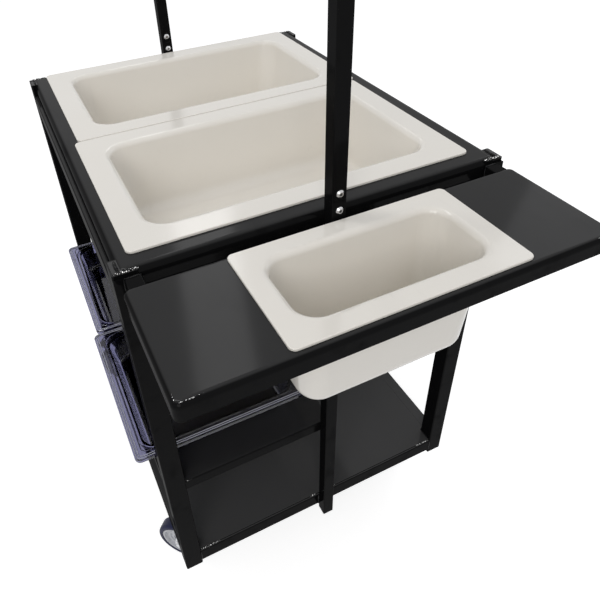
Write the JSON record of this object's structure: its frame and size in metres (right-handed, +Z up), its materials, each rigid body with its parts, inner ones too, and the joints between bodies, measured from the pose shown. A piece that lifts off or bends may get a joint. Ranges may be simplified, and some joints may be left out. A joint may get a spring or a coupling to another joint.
{
  "type": "snack cart",
  "caption": "Food service cart on swivel casters with lift-off pans in its deck and end shelf, slide-out clear tubs on the mid shelf and posts for a sign.",
  "frame": {"origin": "middle of the base of the whole cart's box, on the floor", "axes": "+Z up, the end shelf towards -Y, the tubs pull out towards -X"},
  "size_m": [0.7384, 1.1054, 1.459],
  "materials": {
    "black_paint": "satin powder coat",
    "white_pan": "gloss",
    "tinted_tub": "clear tinted",
    "zinc_steel": "zinc plated",
    "bright_steel": "bright",
    "black_plastic": "fine grain",
    "grey_hub": "moulded",
    "navy_tyre": "smooth"
  },
  "bodies": {
    "frame": {"leg_front_left": "black_paint", "leg_front_right": "black_paint", "leg_rear_left": "black_paint", "leg_rear_right": "black_paint", "top_rail_front": "black_paint", "top_rail_rear": "black_paint", "top_rail_left": "black_paint", "top_rail_right": "black_paint", "bottom_rail_front": "black_paint", "bottom_rail_rear": "black_paint", "bottom_rail_left": "black_paint", "bottom_rail_right": "black_paint", "deck": "black_paint", "deck_stiffener": "black_paint", "end_shelf": "black_paint", "shelf_bracket_left": "black_paint", "shelf_bracket_right": "black_paint", "mid_shelf": "black_paint", "bottom_shelf": "black_paint", "front_upright": "black_paint", "rear_upright": "black_paint", "front_post": "black_paint", "rear_post": "black_paint", "corner_plates": "black_paint", "bracket_bolts": "zinc_steel", "caster_bolts": "zinc_steel", "front_splice": "zinc_steel", "rear_splice": "zinc_steel", "front_post_bolts": "bright_steel", "rear_post_bolts": "bright_steel", "leg_caps": "black_plastic", "post_caps": "black_plastic", "foot_plugs": "black_plastic", "caster_plate_front_left": "zinc_steel", "caster_plate_front_right": "zinc_steel", "caster_plate_rear_left": "zinc_steel", "caster_plate_rear_right": "zinc_steel"},
    "front_pan": {"front_pan": "white_pan"},
    "rear_pan": {"rear_pan": "white_pan"},
    "shelf_pan": {"shelf_pan": "white_pan"},
    "front_tub": {"front_tub": "tinted_tub"},
    "rear_tub": {"rear_tub": "tinted_tub"},
    "caster_front_left": {"caster_fork_front_left": "zinc_steel", "caster_axle_front_left": "zinc_steel"},
    "wheel_front_left": {"caster_hub_front_left": "grey_hub", "caster_tyre_front_left": "navy_tyre"},
    "caster_front_right": {"caster_fork_front_right": "zinc_steel", "caster_axle_front_right": "zinc_steel"},
    "wheel_front_right": {"caster_hub_front_right": "grey_hub", "caster_tyre_front_right": "navy_tyre"},
    "caster_rear_left": {"caster_fork_rear_left": "zinc_steel", "caster_axle_rear_left": "zinc_steel"},
    "wheel_rear_left": {"caster_hub_rear_left": "grey_hub", "caster_tyre_rear_left": "navy_tyre"},
    "brake_rear_left": {"brake_pedal_rear_left": "zinc_steel"},
    "caster_rear_right": {"caster_fork_rear_right": "zinc_steel", "caster_axle_rear_right": "zinc_steel"},
    "wheel_rear_right": {"caster_hub_rear_right": "grey_hub", "caster_tyre_rear_right": "navy_tyre"},
    "brake_rear_right": {"brake_pedal_rear_right": "zinc_steel"}
  },
  "joints": [
    {"name": "front_pan_lift", "type": "slide", "parent": "frame", "child": "front_pan", "axis": [0, 0, 1], "range_m": [0, 0.25]},
    {"name": "rear_pan_lift", "type": "slide", "parent": "frame", "child": "rear_pan", "axis": [0, 0, 1], "range_m": [0, 0.25]},
    {"name": "shelf_pan_lift", "type": "slide", "parent": "frame", "child": "shelf_pan", "axis": [0, 0, 1], "range_m": [0, 0.3]},
    {"name": "front_tub_pull", "type": "slide", "parent": "frame", "child": "front_tub", "axis": [-1, 0, 0], "range_m": [0, 0.38]},
    {"name": "rear_tub_pull", "type": "slide", "parent": "frame", "child": "rear_tub", "axis": [-1, 0, 0], "range_m": [0, 0.38]},
    {"name": "caster_front_left_swivel", "type": "hinge", "parent": "frame", "child": "caster_front_left", "pos_m": [-0.28075, -0.2107, 0.1447], "axis": [0, 0, 1], "continuous": true},
    {"name": "wheel_front_left_spin", "type": "hinge", "parent": "caster_front_left", "child": "wheel_front_left", "pos_m": [-0.30854, -0.18193, 0.0625], "axis": [-0.7193, -0.6947, 0], "continuous": true},
    {"name": "caster_front_right_swivel", "type": "hinge", "parent": "frame", "child": "caster_front_right", "pos_m": [0.31925, -0.2107, 0.1447], "axis": [0, 0, 1], "continuous": true},
    {"name": "wheel_front_right_spin", "type": "hinge", "parent": "caster_front_right", "child": "wheel_front_right", "pos_m": [0.29146, -0.18193, 0.0625], "axis": [-0.7193, -0.6947, 0], "continuous": true},
    {"name": "caster_rear_left_swivel", "type": "hinge", "parent": "frame", "child": "caster_rear_left", "pos_m": [-0.28075, 0.4353, 0.1447], "axis": [0, 0, 1], "continuous": true},
    {"name": "wheel_rear_left_spin", "type": "hinge", "parent": "caster_rear_left", "child": "wheel_rear_left", "pos_m": [-0.30854, 0.46407, 0.0625], "axis": [-0.7193, -0.6947, 0], "continuous": true},
    {"name": "brake_rear_left_press", "type": "hinge", "parent": "caster_rear_left", "child": "brake_rear_left", "pos_m": [-0.29742, 0.45256, 0.1355], "axis": [-0.7193, -0.6947, 0], "range_deg": [0, 17.5]},
    {"name": "caster_rear_right_swivel", "type": "hinge", "parent": "frame", "child": "caster_rear_right", "pos_m": [0.31925, 0.4353, 0.1447], "axis": [0, 0, 1], "continuous": true},
    {"name": "wheel_rear_right_spin", "type": "hinge", "parent": "caster_rear_right", "child": "wheel_rear_right", "pos_m": [0.29146, 0.46407, 0.0625], "axis": [-0.7193, -0.6947, 0], "continuous": true},
    {"name": "brake_rear_right_press", "type": "hinge", "parent": "caster_rear_right", "child": "brake_rear_right", "pos_m": [0.30258, 0.45256, 0.1355], "axis": [-0.7193, -0.6947, 0], "range_deg": [0, 17.5]}
  ]
}
